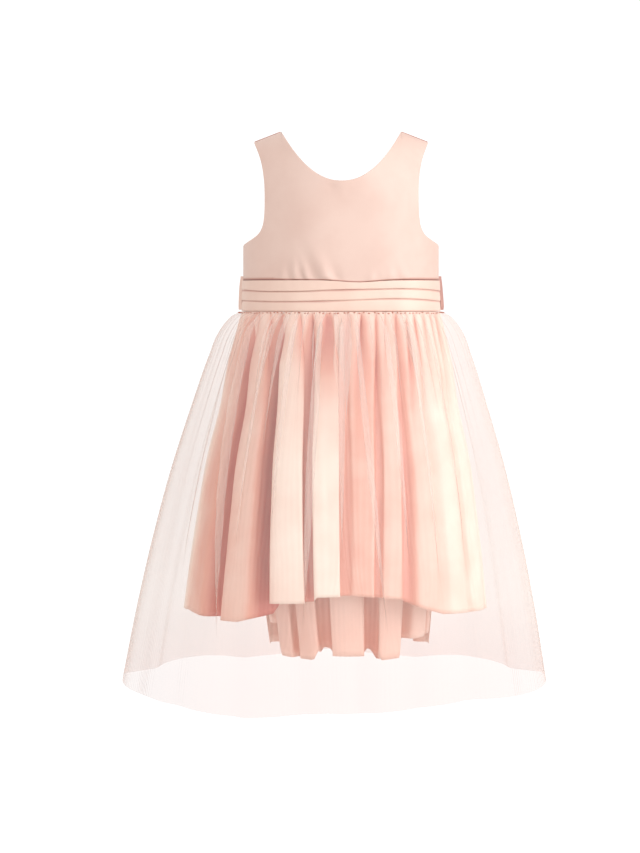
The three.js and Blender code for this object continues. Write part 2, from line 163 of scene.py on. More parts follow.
CREASES = [
    {"x": -61, "z": -153, "lean": -1, "length": 18, "half_width": 3.2, "height": 1.1},
    {"x": -53.5, "z": -153, "lean": -2, "length": 22, "half_width": 2.8, "height": -1.3},
    {"x": -46, "z": -153, "lean": -3, "length": 25, "half_width": 3.0, "height": 1.4},
    {"x": -40, "z": -153, "lean": -6, "length": 25, "half_width": 2.6, "height": -1.4},
    {"x": -34.5, "z": -153, "lean": -7, "length": 24, "half_width": 2.8, "height": 1.3},
    {"x": -26.5, "z": -153, "lean": -22, "length": 50, "half_width": 6.0, "height": -2.1},
    {"x": -16, "z": -153, "lean": -9, "length": 34, "half_width": 5.5, "height": 1.6},
    {"x": -4, "z": -153, "lean": 0, "length": 14, "half_width": 3.5, "height": -0.6},
    {"x": 30, "z": -153, "lean": 1, "length": 15, "half_width": 3.5, "height": 0.9},
    {"x": 50, "z": -153, "lean": -3, "length": 18, "half_width": 3.5, "height": 0.7},
    {"x": 64, "z": -153, "lean": -6, "length": 24, "half_width": 4.0, "height": 0.8},
    {"x": 86, "z": -140, "lean": 10, "length": 26, "half_width": 5.0, "height": 0.7},
    {"x": -88, "z": -138, "lean": -9, "length": 26, "half_width": 5.0, "height": 0.7},
    {"x": -11, "z": -60, "lean": 0, "length": 16, "half_width": 6.0, "height": -0.8},
]


def linear(hex_colour):
    """sRGB hex to linear: a channel c becomes c / 12.92 up to 0.04045, else ((c + 0.055) / 1.055) ** 2.4."""
    channels = [int(hex_colour[i:i + 2], 16) / 255 for i in (1, 3, 5)]
    return [c / 12.92 if c <= 0.04045 else ((c + 0.055) / 1.055) ** 2.4 for c in channels] + [1]


def satin(name, colours, roughness, gloss):
    """Heavy woven satin: long warp floats lie side by side, so it is smooth, with a broad white gloss and
    faint lengthwise slubs. The floats are 0.1 mm wide, too fine to show, so they are drawn 0.8 mm wide
    and 20 mm long, and the dye is a little uneven in patches 45 mm wide.
    Where the mesh marks painted shade, from 0 on a crest to 1 deep in a fold, under a fold or at a seam,
    the colour is painted darker and redder through three colours: on a crest, half way down and deep in a
    fold. This painted shade stands for the shade in the folds, where light that bounces between two folds
    takes up the dye's colour again and again."""
    material = bpy.data.materials.new(name)
    material.use_nodes = True
    tree = material.node_tree
    tree.nodes.clear()
    place = add_node(tree, "ShaderNodeTexCoord", {})
    lengths = {"Scale": (1 / 0.0008, 1 / 0.02, 1)}
    floats = add_node(tree, "ShaderNodeMapping", lengths, Vector=place.outputs["UV"])
    slub_noise = {"Scale": 1, "Detail": 2, "Roughness": 0.6}
    slubs = add_node(tree, "ShaderNodeTexNoise", slub_noise, Vector=floats.outputs["Vector"])
    dye_noise = {"Scale": 1 / 0.045, "Detail": 3, "Roughness": 0.55}
    dye = add_node(tree, "ShaderNodeTexNoise", dye_noise, Vector=place.outputs["Object"])
    tint = ramp(tree, dye.outputs["Fac"], 0.35, 0.65, 0, 0.08)
    # Painted shade: the mesh value read here, added to the dye's uneven patches, darkens the colour towards
    # the deep fold colour.
    sunk = add_node(tree, "ShaderNodeAttribute", {"attribute_name": "painted_shade"})
    deep = add_node(tree, "ShaderNodeMath", {"operation": "ADD"}, i0=tint, i1=sunk.outputs["Fac"])
    colour = add_node(tree, "ShaderNodeValToRGB", {}, Fac=deep.outputs["Value"])
    colour.color_ramp.elements.new(0.4)
    for stop, shade in zip(colour.color_ramp.elements, colours):
        stop.color = linear(shade)
    height = {"Strength": 0.25, "Distance": 0.00012}
    relief = add_node(tree, "ShaderNodeBump", height, Height=slubs.outputs["Fac"])
    finish = {
        "Roughness": roughness,
        "IOR": gloss,
        "Specular IOR Level": 1,
        "Sheen Weight": 0.08,
        "Sheen Roughness": 0.4,
    }
    shader = add_node(
        tree, "ShaderNodeBsdfPrincipled", finish,
        Base_Color=colour.outputs["Color"], Normal=relief.outputs["Normal"],
    )
    add_node(tree, "ShaderNodeOutputMaterial", {}, Surface=shader.outputs["BSDF"])
    return material


def cloth_object(name, grid, material, thickness=0, painted_shade=None):
    """A grid of points in millimetres (rows run down, columns to the right as seen from outside) becomes a
    mesh of quads. Its UV is the cloth's own length in metres: u along the last row, v down the middle column.
    A thickness is added inwards. A painted shade value, from 0 on a crest to 1 in a deep valley, under a
    fold or at a seam, is kept on the mesh."""
    rows, columns = grid.shape[:2]
    first = (np.arange(rows - 1)[:, None] * columns + np.arange(columns - 1)).ravel()
    quads = np.stack([first, first + columns, first + columns + 1, first + 1], axis=1)
    mesh = bpy.data.meshes.new(name)
    mesh.from_pydata((grid.reshape(-1, 3) / 1000).tolist(), [], quads.tolist())
    mesh.polygons.foreach_set("use_smooth", np.ones(len(quads), bool))
    along = np.linalg.norm(np.diff(grid[-1], axis=0), axis=1)
    down = np.linalg.norm(np.diff(grid[:, columns // 2], axis=0), axis=1)
    u = np.concatenate([[0], np.cumsum(along)]) / 1000
    v = np.concatenate([[0], np.cumsum(down)]) / 1000
    uv = np.stack(np.broadcast_arrays(u[None, :], -v[:, None]), axis=-1).reshape(-1, 2)
    mesh.uv_layers.new(name="cloth").data.foreach_set("uv", uv[quads.ravel()].ravel())
    # Painted shade per point, 0 where none is given.
    depths = np.zeros((rows, columns)) if painted_shade is None else painted_shade
    mesh.attributes.new("painted_shade", "FLOAT", "POINT").data.foreach_set("value", depths.ravel())
    mesh.materials.append(material)
    piece = bpy.data.objects.new(name, mesh)
    bpy.context.collection.objects.link(piece)
    if thickness:
        wall = piece.modifiers.new("cloth_thickness", "SOLIDIFY")
        wall.thickness = thickness / 1000
        wall.offset = -1
    return piece


def outward(grid):
    """Unit normals of a grid: the cross product of its steps down and its steps across."""
    normal = np.cross(np.gradient(grid, axis=0), np.gradient(grid, axis=1))
    return normal / np.maximum(np.linalg.norm(normal, axis=-1, keepdims=True), 1e-9)


def cubic(s, start, start_slope, end, end_slope):
    """The cubic with these values and slopes at both ends, at share s of the way from start to end."""
    return (
        (2 * s**3 - 3 * s**2 + 1) * start
        + (s**3 - 2 * s**2 + s) * start_slope
        + (3 * s**2 - 2 * s**3) * end
        + (s**3 - s**2) * end_slope
    )


def curve_through(points, samples):
    """Uniform Catmull-Rom curve: between points b and c it is the cubic through both, whose slope at each
    is half the step between its neighbours."""
    points = np.array(points, float)
    padded = np.vstack([points[:1], points, points[-1:]])
    t = np.linspace(0, len(points) - 1, samples)
    i = np.minimum(t.astype(int), len(points) - 2)
    s = (t - i)[:, None]
    a, b, c, d = (padded[i + k] for k in range(4))
    return cubic(s, b, (c - a) / 2, c, (d - b) / 2)


armhole_curve = curve_through(ARMHOLE, 200)[::-1]


def outer_reach(z):
    """Distance from the middle to the armhole edge, or below it to the side seam, at a height."""
    return np.interp(z, armhole_curve[:, 1], armhole_curve[:, 0])


def shoulder_height(x):
    """Height of the sloping shoulder seam's line at a distance from the middle."""
    return -SHOULDER_SLOPE * (np.abs(x) - NECK_HALF_WIDTH)


def length_at_depth(depth):
    """Cloth length from the shoulder line down: R * acos(1 - depth / R) over the arch, then straight down."""
    over_arch = ARCH_HEIGHT * np.arccos(1 - np.clip(depth / ARCH_HEIGHT, 0, 1))
    return over_arch + np.maximum(depth - ARCH_HEIGHT, 0)


def depth_at_length(length):
    """The inverse of length_at_depth."""
    over_arch = ARCH_HEIGHT * math.pi / 2
    curved = ARCH_HEIGHT * (1 - np.cos(np.minimum(length, over_arch) / ARCH_HEIGHT))
    return curved + np.maximum(length - over_arch, 0)


def chest_points(x, z, side):
    """Points on the chest form: y is the half depth, which shrinks to 0 over the shoulder arch, times
    sqrt(1 - (x / half width) ** 2). side is -1 for the front and 1 for the back."""
    rise = np.clip((shoulder_height(x) - z) / ARCH_HEIGHT, 0, 1)
    half_depth = CHEST_HALF_DEPTH * np.sqrt(1 - (1 - rise) ** 2)
    roundness = np.sqrt(np.clip(1 - (x / CHEST_HALF_WIDTH) ** 2, 0, 1))
    return np.stack([x, side * (half_depth * roundness + SEAM_GAP / 2), z], axis=-1)


def waist_line(x, side):
    """Height of the seam between bodice and band: level, with a shallow dip right of the centre front."""
    across = (x - WAIST_DIP["x"]) / WAIST_DIP["half_width"]
    return WAIST_TOP - (side < 0) * WAIST_DIP["depth"] * np.exp(-(across**2))


def bodice_grid(side, halves):
    """Columns each take a share of the outer reach and end on the neckline, z = -depth (1 - (x / w) ** n), or
    on the shoulder seam. They lie closer together where the neckline turns up into the strap. Rows are
    evenly spaced along the cloth from there down to the waist. halves are the panel's own sides of the
    middle: -1 left, 1 right, or both."""
    step = np.linspace(0, 1, NECK_COLUMNS)
    closer = np.sin(step * math.pi / 2)
    neck_x = NECK_HALF_WIDTH * (NECK_EVEN_SPACING * step + (1 - NECK_EVEN_SPACING) * closer)
    neck_top = -NECK_DEPTHS[side] * (1 - (neck_x / NECK_HALF_WIDTH) ** NECK_ROUNDNESS)
    neck_share = neck_x / outer_reach(neck_top)
    strap_share = np.sin(np.linspace(math.asin(neck_share[-1]), math.pi / 2, STRAP_COLUMNS))[1:]
    strap_top = shoulder_height(strap_share * ARMHOLE[0][0])
    share = np.concatenate([neck_share, strap_share])
    top = np.concatenate([neck_top, strap_top])
    order = [(sign * share, top) if sign * side < 0 else (sign * share[::-1], top[::-1]) for sign in halves]
    if len(order) == 2:
        order[1] = (order[1][0][1:], order[1][1][1:])
    share = np.concatenate([part[0] for part in order])
    top = np.concatenate([part[1] for part in order])
    bottom = waist_line(share * CHEST_HALF_WIDTH, side)
    shoulder = shoulder_height(share * ARMHOLE[0][0])
    start = length_at_depth(shoulder - top)
    end = length_at_depth(shoulder - bottom)
    down = np.linspace(0, 1, BODICE_ROWS)[:, None]
    z = shoulder - depth_at_length(start + (end - start) * down)
    z[0] = top
    return chest_points(share * outer_reach(z), z, side)


def crease_heights(x, z, creases):
    """Broad upright waves, height * cos(pi (x - crest_x) / half_length), which grow from under the neckline
    and fade out at the side seams. On them lies each crease: a ridge along a slanted line that rises from its
    foot, height * exp(-(across / half_width) ** 2), with a shallower hollow beside it, and both fade along
    its length."""
    to_seam = CHEST_HALF_WIDTH - CALM_AT_SIDE_SEAMS["margin"] - np.abs(x)
    between_seams = np.clip(to_seam / CALM_AT_SIDE_SEAMS["width"], 0, 1)
    grown = np.clip((BROAD_WAVES["start"] - z) / BROAD_WAVES["full_after"], 0, 1)
    turns = (x - BROAD_WAVES["crest_x"]) * math.pi / BROAD_WAVES["half_length"]
    total = BROAD_WAVES["height"] * np.cos(turns) * grown * between_seams
    for crease in creases:
        up = (z - crease["z"]) / crease["length"]
        across = (x - crease["x"] - crease["lean"] * up) / crease["half_width"]
        along = np.clip(1 - np.abs(up), 0, 1) ** 1.5
        hollow = across - CREASE_HOLLOW["beside"]
        total += crease["height"] * np.exp(-(across**2)) * along
        total -= CREASE_HOLLOW["share"] * crease["height"] * np.exp(-(hollow**2)) * along
    return total


def put_on(piece, slot_name, *nodes):
    """The piece rides with the dress and replaces the nodes. slot_name is not used."""
    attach(piece, "root")
    if nodes:
        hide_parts(*nodes)


# Bodice colours: the satin's own tone, then painted shade at the waist seam.
bodice_satin = satin("duchess_satin_bodice", ["#d3b5a8", "#b98877", "#7d4038"], 0.62, 1.62)
BODICE_PANELS = [
    {"node": "bodice_front", "side": -1, "halves": (-1, 1), "flat": (0.284, 0.206), "area": 0.030},
    {"node": "bodice_back_right", "side": 1, "halves": (1,), "flat": (0.142, 0.206), "area": 0.0148},
    {"node": "bodice_back_left", "side": 1, "halves": (-1,), "flat": (0.142, 0.206), "area": 0.0148},
]
for panel in BODICE_PANELS:
    grid = bodice_grid(panel["side"], panel["halves"])
    lift = crease_heights(-panel["side"] * grid[..., 0], grid[..., 2], CREASES)
    above_seam = 1 - np.linspace(0, 1, BODICE_ROWS)[:, None]
    free = np.clip(above_seam / SEAM_PULLS_FLAT_OVER, 0, 1) ** 0.5
    grid = grid + outward(grid) * (lift * free)[..., None]
    # Painted shade on the last rows above the waist seam, where the seam turns under.
    seam_shadow = np.broadcast_to(np.clip(1 - above_seam / SEAM_SHADES_OVER, 0, 1), grid.shape[:2])
    piece = cloth_object(panel["node"] + "_satin", grid, bodice_satin, SATIN_THICKNESS, seam_shadow)
    put_on(piece, "bodice_satin", panel["node"])

# Waistband: one strip of the same satin, folded into three tucks that are pressed downwards.
# Each tuck's folded edge stands off the one below and throws a thin shadow, and painted shade darkens the
# cloth along and under each fold. The lines waver a little.
WAIST_BOTTOM = -187
BAND_INNER_OFFSET = -1.3
BAND_TOP = {"offset": 0.9, "below_seam": 0.08}
TUCKS = [
    {"seam_offset": 1.0, "fold_offset": 1.5},
    {"seam_offset": 0.8, "fold_offset": 1.6},
    {"seam_offset": 1.1, "fold_offset": 1.9},
]
TUCK_HEAD = 0.1
TUCK_FOOT = 0.8
TUCK_TURN = [{"inward": 0.35, "above_foot": 0.15}, {"inward": 0.9, "above_foot": 0.05}]
# Painted shade under, on and behind each fold.
TUCK_SHADOWS = {"under_fold_above": 0.3, "on_fold": 0.1, "behind_fold": 0.5}
TUCK_ROWS = 9
INNER_ROWS = 8
BAND_COLUMNS = 260
BAND_CALM = {"below_top": 7, "above_bottom": 5}
DIP_REACHES_DOWN = 12
BAND_WAVES = [
    {"height": 1.60, "waves": 2.6, "start": 0.0, "per_tuck": 0.0},
    {"height": 0.30, "waves": 5.0, "start": 2.1, "per_tuck": 1.9},
    {"height": 0.14, "waves": 9.0, "start": 1.1, "per_tuck": 2.6},
]
BAND_LINES_RAISED = 1.0
WAVE_PUSHES_OUT = 0.1


def waist_ring(angle, offset, z, side, trim=0):
    """Oval round the waist: x = (half width + offset) sin, y = -(half depth + offset) cos of the angle."""
    x = (CHEST_HALF_WIDTH + offset) * np.sin(angle) + trim
    y = -(CHEST_HALF_DEPTH + offset) * np.cos(angle) + side * SEAM_GAP / 2
    return np.stack(np.broadcast_arrays(x, y, z), axis=-1)


def band_grid(side, start, end, trim, columns):
    """Down each tuck the offset grows from its seam to its folded edge as a soft swell,
    seam + (fold - seam) sin(pi / 2 share), rounds the fold and turns back under it. The whole profile is
    swept round the waist. Each fold line waves by the sum of
    height * sin(waves * angle + start + per_tuck * tuck), which dies down at the two seams. The inner side is
    plain, and the last row closes the profile. The second result is painted shade: how dark the cloth is
    painted where a fold shades it."""
    tuck_height = (WAIST_TOP - SEAM_GAP - WAIST_BOTTOM) / len(TUCKS)
    share = np.linspace(0, 1, TUCK_ROWS) ** 0.8
    offsets = [BAND_TOP["offset"]]
    heights = [WAIST_TOP - BAND_TOP["below_seam"]]
    tuck_of_row = [0]
    shadows = [0.0]
    for i, tuck in enumerate(TUCKS):
        top = WAIST_TOP - SEAM_GAP - i * tuck_height
        foot = top - tuck_height
        swell = (tuck["fold_offset"] - tuck["seam_offset"]) * np.sin(share * math.pi / 2)
        offsets += list(tuck["seam_offset"] + swell)
        offsets += [tuck["fold_offset"] - turn["inward"] for turn in TUCK_TURN]
        heights += list(top - TUCK_HEAD - (tuck_height - TUCK_HEAD - TUCK_FOOT) * share)
        heights += [foot + turn["above_foot"] for turn in TUCK_TURN]
        tuck_of_row += [i] * (TUCK_ROWS + len(TUCK_TURN))
        shadows += [TUCK_SHADOWS["under_fold_above"] * (i > 0)] + [0.0] * (TUCK_ROWS - 1)
        shadows += [TUCK_SHADOWS["on_fold"], TUCK_SHADOWS["behind_fold"]]
    offset = np.array(offsets)[:, None]
    height = np.array(heights)[:, None]
    number = np.array(tuck_of_row)[:, None]
    angle = np.radians(np.linspace(start, end, columns))[None, :]
    wave = BAND_LINES_RAISED
    for w in BAND_WAVES:
        wave = wave + w["height"] * np.sin(w["waves"] * angle + w["start"] + w["per_tuck"] * number)
    wave = wave * np.sqrt(np.abs(np.cos(angle)))
    below_top = WAIST_TOP - height
    free = np.clip(below_top / BAND_CALM["below_top"], 0, 1)
    free = free * np.clip((height - WAIST_BOTTOM) / BAND_CALM["above_bottom"], 0, 1)
    dip = waist_line(CHEST_HALF_WIDTH * np.sin(angle), side) - WAIST_TOP
    z = height + wave * free + dip * (1 - np.clip(below_top / DIP_REACHES_DOWN, 0, 1))
    grid = waist_ring(angle, offset + WAVE_PUSHES_OUT * wave, z, side, trim)
    inner_share = np.linspace(0, 1, INNER_ROWS)[:, None]
    inner_heights = WAIST_BOTTOM + (WAIST_TOP + dip - SEAM_GAP - WAIST_BOTTOM) * inner_share
    inner = waist_ring(angle, BAND_INNER_OFFSET, inner_heights, side, trim)
    shadow = np.array(shadows + [0.0] * (INNER_ROWS + 1))[:, None]
    return np.concatenate([grid, inner, grid[:1]]), np.repeat(shadow, columns, axis=1)


BAND_PIECES = [
    {"node": "waistband_front", "side": -1, "from": -90, "to": 90, "trim": 0, "flat": (0.29, 0.07)},
    {"node": "waistband_back_right", "side": 1, "from": 90, "to": 180, "trim": 0.15, "flat": (0.145, 0.07)},
    {"node": "waistband_back_left", "side": 1, "from": 180, "to": 270, "trim": -0.15, "flat": (0.145, 0.07)},
]
# Band colours: the satin's own tone, then painted shade under the folds and along the loops' edges.
band_satin = satin("duchess_satin_waistband", ["#dfc1b1", "#b98274", "#6e332d"], 0.6, 1.58)
for strip in BAND_PIECES:
    columns = BAND_COLUMNS * (strip["to"] - strip["from"]) // 180
    grid, shadow = band_grid(strip["side"], strip["from"], strip["to"], strip["trim"], columns)
    piece = cloth_object(strip["node"] + "_tucked", grid, band_satin, 0, shadow)
    put_on(piece, "band_satin", strip["node"])

# Belt loops: a narrow turned strip of satin at each side seam, caught in the seams above and below the
# band, so that it stands a few millimetres off it.
LOOP_LINES = {
    -1: [
        (0.4, -150.5), (0.4, -152.5), (1.2, -156), (1.9, -161),
        (2.5, -168), (3.0, -176), (3.2, -182), (3.0, -185.5),
    ],
    1: [
        (0.4, -150.5), (0.4, -152.5), (1.1, -156), (1.8, -161),
        (2.6, -168), (3.4, -176), (3.9, -182), (3.3, -185.5),
    ],
}
# Painted shade over each whole loop: the right loop is turned from the light and is painted darker.
LOOP_SHADES = {-1: 0.1, 1: 0.55}
LOOP_TURN = math.radians(42)
LOOP_WIDTH = 6
LOOP_THICKNESS = 1.2
LOOP_SQUARENESS = {"across": 0.35, "through": 0.6}
LOOP_EDGE_SHADE = {"start": 0.76, "width": 0.2}


def strip_grid(line, xsign):
    """A rounded-oblong section, with its sine and cosine raised to powers below 1, is carried along a line
    of (out, height) points in an upright plane at the side seam, which is turned to the front: the section
    spans the strip's width across that plane and its thickness along the line's normal. The second result
    is painted shade: 1 along the strip's front edge, where the band shades it, and never less than the side's
    painted shade over the whole strip."""
    centre = curve_through(line, 60)
    step = np.gradient(centre, axis=0)
    normal = np.stack([-step[:, 1], step[:, 0]], axis=1)
    normal /= np.linalg.norm(normal, axis=1, keepdims=True)
    turn = np.linspace(0, 2 * math.pi, 25)
    edge = np.sign(np.cos(turn)) * np.abs(np.cos(turn)) ** LOOP_SQUARENESS["across"]
    face = np.sign(np.sin(turn)) * np.abs(np.sin(turn)) ** LOOP_SQUARENESS["through"]
    across = edge * LOOP_WIDTH / 2
    through = face * LOOP_THICKNESS / 2
    place = centre[:, None, :] + normal[:, None, :] * (through[None, :, None] + LOOP_THICKNESS / 2)
    out, width = place[..., 0], np.broadcast_to(xsign * across[None, :], place[..., 0].shape)
    x = xsign * (CHEST_HALF_WIDTH + out * math.cos(LOOP_TURN) - xsign * width * math.sin(LOOP_TURN))
    y = -out * math.sin(LOOP_TURN) - xsign * width * math.cos(LOOP_TURN)
    shade = (edge - LOOP_EDGE_SHADE["start"]) / LOOP_EDGE_SHADE["width"]
    shadow = np.broadcast_to(np.clip(shade, LOOP_SHADES[xsign], 1), x.shape)
    return np.stack([x, y, place[..., 1]], axis=-1), shadow


for xsign, side_name in ((-1, "left"), (1, "right")):
    grid, shadow = strip_grid(LOOP_LINES[xsign], xsign)
    piece = cloth_object(f"belt_loop_{side_name}_strip", grid, band_satin, 0, shadow)
    put_on(piece, "band_satin", f"belt_loop_{side_name}")

# Lining skirt: a light woven lining, longer and narrower than the satin skirt, gathered into the waist.
# Only its fold ends show, below the satin's hem.
RING_COLUMNS = ("height", "half_width", "half_depth", "fold")
RIDGE_COLUMNS = ("waist", "hem", "sunk", "valley", "lean", "roll")
LINING = {
    "shift": 9,
    "bulge": 0.06,
    "tube": 0.06,
    "columns_per_fold": 32,
    "rows": 60,
    "rings": [
        (-187.3, 102.4, 74.9, 0), (-210, 101, 74.5, 2), (-245, 101.5, 75.5, 4), (-290, 103, 77.5, 7),
        (-350, 103, 81, 10), (-410, 98, 83, 13), (-475, 91, 82, 15), (-538, 84, 80, 16),
    ],
    "ridges": [
        (-90, -90, 0.0, 0.7, 0.0, 0.00),
        (-53, -51, 0.0, 0.8, 0.0, 0.06),
        (-34, -34, 0.1, 1.0, 0.0, 0.04),
        (-4, -2, 0.0, 1.0, 0.1, 0.08),
        (30, 31, 0.1, 1.1, -0.1, 0.06),
        (60, 62, 0.0, 0.7, 0.0, 0.04),
    ],
    "back_folds": 6,
    "back_rhythm": [0.8, 1],
    "hem_line": [
        (-90, 24), (-63, 24), (-59, -6), (-27, -7), (-23, 5), (-18, 4), (-14, -2), (11, -2),
        (15, 4), (19, 2), (23, -7), (38, -6), (42, 12), (82, 12), (90, 18),
    ],
    "back_hem": 0,
    "gathers": 18,
    "gather_depths": [(-187.3, 0), (-195, 0.8), (-230, 0.6), (-290, 0.2), (-340, 0)],
    "gather_swing": 0.3,
    "calm_sides": 0,
    "ripple": 0.5,
    "crimps": 0,
    "laps": [],
}


def smooth_table(table, z):
    """Value at each height of a table of rows (height, value...): cubics through the rows, whose slope at a
    row is the slope between its two neighbours."""
    table = np.array(table, float)[::-1]
    heights, values = table[:, 0], table[:, 1:]
    slopes = np.gradient(values, heights, axis=0)
    i = np.clip(np.searchsorted(heights, z) - 1, 0, len(heights) - 2)
    span = heights[i + 1] - heights[i]
    s = np.clip((z - heights[i]) / span, 0, 1)[..., None]
    span = span[..., None]
    return cubic(s, values[i], span * slopes[i], values[i + 1], span * slopes[i + 1])


# All three skirts: rows lie closer together at the waist, and the folds and laps open out just below it.
ROW_CROWDING = 1.35
FOLDS_OPEN_OVER = 1 / 6
BACK_LEAN = {"most": 0.06, "rate": 2.3}
GATHER_DEPTH_WAVES = [(0.5, 3.7, 1), (0.3, 8.3, 0)]
GATHER_PLACE_WAVES = [(0.1, 5.3, 0.7), (0.06, 11.7, 0)]
GATHER_SWING_WAVES = [(0.4, 3.7, 1)]
GATHERS_SWING_LESS_BELOW = -208
LAP_EDGES_APART = 1.34
LAP_AT_WAIST = 0.35
LAPS_OPEN_OVER = 1 / 25
LAP_FADES_OVER = 240
CRIMP_PLACE_WAVES = [(0.5, 2.9, 0), (0.3, 7.7, 0)]
# Painted shade in the skirts: full at these depths of fold and gather, less near the hem, and a little near
# the waist.
FOLD_DEPTH_FULLY_SHADED = 16
GATHER_DEPTH_FULLY_SHADED = 5
HEM_LESS_SHADED = 0.2
WAIST_SHADE = {"level": 0.08, "start": -290, "full_after": 70}


def wander(q, waves):
    """Unevenness along the folds: the sum of height * sin(rate * q + start) over rows of those three."""
    return sum(height * np.sin(rate * q + start) for height, rate, start in waves)


def skirt_grid(layer, side):
    """A ring of folds. The rows of rings and ridges are named above: at each height the oval and the depth of
    a fold, and for each crest its angle at the waist and at the hem, how far it is sunk, how deep the valley
    after it is, how far that valley leans to the right, and how far both flanks roll in.
    At share p from one crest to the next the angle is the crests' angles mixed by
    p + bulge sin(2 pi p) + (tube + roll) sin(4 pi p) + lean sin(pi p) ** 2,
    and the cloth sinks below the crests by fold * valley * sin(pi p) ** 3. Each point lies on an oval round
    the body: x = (half width - sink) sin, y = -(half depth - sink) cos. Folds and gathers are calmer at the
    sides. Gathers sink the cloth by depth * (1 - cos) / 2 and push it sideways with their sine, and fade out
    below the waist. Laps fold the cloth over itself, angle - 3 w t exp(-t ** 2) at t half bands w from the
    lap, whose two folded edges then lie LAP_EDGES_APART * w apart, and w grows from the waist to the hem.
    Fine crimps run down the net.
    The second result is painted shade: it goes from 0 on a crest to 1, the deeper the cloth is sunk and
    gathered, with less of it near the hem and a little more near the waist."""
    back_width = 180 / layer["back_folds"]
    rhythm = layer["back_rhythm"]
    back = []
    for n in range(layer["back_folds"]):
        crest = 90 + n * back_width
        lean = BACK_LEAN["most"] * math.sin(BACK_LEAN["rate"] * n)
        back.append((crest, crest, 0, rhythm[n % len(rhythm)], lean, 0))
    seam = 90 if side < 0 else 270
    ridges = np.array((layer["ridges"] if side < 0 else back) + [(seam, seam, 0, 0, 0, 0)], float)
    folds = len(ridges) - 1
    q = np.linspace(0, folds, folds * layer["columns_per_fold"] + 1)
    i = np.minimum(q.astype(int), folds - 1)
    p = q - i
    here = dict(zip(RIDGE_COLUMNS, ridges[i].T))
    after = dict(zip(RIDGE_COLUMNS, ridges[i + 1].T))
    right_flank = np.cos(math.pi * (p - 0.25)) ** 2
    roll = layer["tube"] + here["roll"] * right_flank + after["roll"] * (1 - right_flank)
    mixed = p + layer["bulge"] * np.sin(2 * math.pi * p) + roll * np.sin(4 * math.pi * p)
    mixed += here["lean"] * np.sin(math.pi * p) ** 2
    waist = here["waist"] + (after["waist"] - here["waist"]) * mixed
    hem = here["hem"] + (after["hem"] - here["hem"]) * mixed
    straight_waist = here["waist"] + (after["waist"] - here["waist"]) * p
    calm = 1 - layer["calm_sides"] * np.sin(np.radians(hem)) ** 6
    sink = here["sunk"] + (after["sunk"] - here["sunk"]) * p
    sink += calm * here["valley"] * np.sin(math.pi * p) ** 3
    top, bottom = layer["rings"][0][0], layer["rings"][-1][0]
    down = np.linspace(0, 1, layer["rows"])[:, None] ** ROW_CROWDING
    z = top + (bottom - top) * down
    ring = dict(zip(RING_COLUMNS[1:], smooth_table(layer["rings"], z[:, 0]).T[:, :, None]))
    opening = np.clip(down / FOLDS_OPEN_OVER, 0, 1)
    degrees = straight_waist + (waist - straight_waist) * opening + (hem - waist) * down
    calm_gathers = 1 - layer["calm_sides"] * np.sin(np.radians(waist)) ** 4
    own_depth = smooth_table(layer["gather_depths"], z[:, 0]) * (1 + wander(q, GATHER_DEPTH_WAVES))
    phase = 2 * math.pi * (layer["gathers"] * q / folds + wander(q, GATHER_PLACE_WAVES))
    ends = np.sqrt(np.clip(np.sin(math.pi * q / folds), 0, 1))
    gather = own_depth * calm_gathers * (0.5 - 0.5 * np.cos(phase)) * ends
    swing_depth = smooth_table(layer["gather_depths"], np.minimum(z[:, 0], GATHERS_SWING_LESS_BELOW))
    swing = layer["gather_swing"] * swing_depth * calm_gathers * (1 + wander(q, GATHER_SWING_WAVES))
    degrees = degrees + swing * np.sin(phase) * ends
    lift = 0
    for lap in layer["laps"]:
        middle = lap["waist"] + (lap["hem"] - lap["waist"]) * down
        half_band = lap["band"] / LAP_EDGES_APART * (LAP_AT_WAIST + (1 - LAP_AT_WAIST) * down)
        t = (degrees - middle) / half_band
        fade = np.clip((z - lap["end"]) / LAP_FADES_OVER, 0, 1) ** 0.6 * np.clip(down / LAPS_OPEN_OVER, 0, 1)
        degrees = degrees - 3 * fade * half_band * t * np.exp(-(t**2))
        lift = lift - lap["height"] * fade * t * np.exp(-(t**2) / 2)
    angle = np.radians(degrees)
    ripple = layer["ripple"] * calm * ends * down * np.sin(2.1 * q + 5 * down) * np.sin(7 * down + 1.3 * q)
    inward = sink * ring["fold"] + gather + ripple - lift
    if layer["crimps"]:
        width = math.pi / 2 * (ring["half_width"] + ring["half_depth"]) / layer["crimps"]
        crimp = np.sin(2 * math.pi * (layer["crimps"] * q / folds + wander(q, CRIMP_PLACE_WAVES)))
        inward = inward + layer["crimp_height"] * width * crimp * ends
    x = layer["shift"] * down + (ring["half_width"] - inward) * np.sin(angle)
    y = -(ring["half_depth"] - inward) * np.cos(angle) + side * SEAM_GAP / 2
    if side < 0:
        line = np.array(layer["hem_line"], float)
        rise = np.interp(hem, line[:, 0], line[:, 1])
    else:
        rise = layer["back_hem"] * np.sin(2.6 * q + 1)
    grid = np.stack([x, y, z + rise * down**4], axis=-1)
    # Painted shade, darker the deeper the cloth is sunk and gathered, less near the hem, more near the waist.
    depth = sink * ring["fold"] / FOLD_DEPTH_FULLY_SHADED * (1 - HEM_LESS_SHADED * down**2) + gather / GATHER_DEPTH_FULLY_SHADED
    near_waist = np.clip((z - WAIST_SHADE["start"]) / WAIST_SHADE["full_after"], 0, 1)
    return grid, np.clip(depth + WAIST_SHADE["level"] * near_waist, 0, 1)


# Lining colours: its own tone on a crest, then painted shade half way down and deep in a fold.
lining_cloth = satin("woven_acetate_lining", ["#f5d1c3", "#e9b1a0", "#c0554a"], 0.6, 1.45)
for side, name in ((-1, "lining_front"), (1, "lining_back")):
    grid, depth = skirt_grid(LINING, side)
    # The lining takes a weaker share of the painted fold shade.
    piece = cloth_object(name + "_cloth", grid, lining_cloth, 0.6, 0.6 * depth)
    put_on(piece, "lining", name)

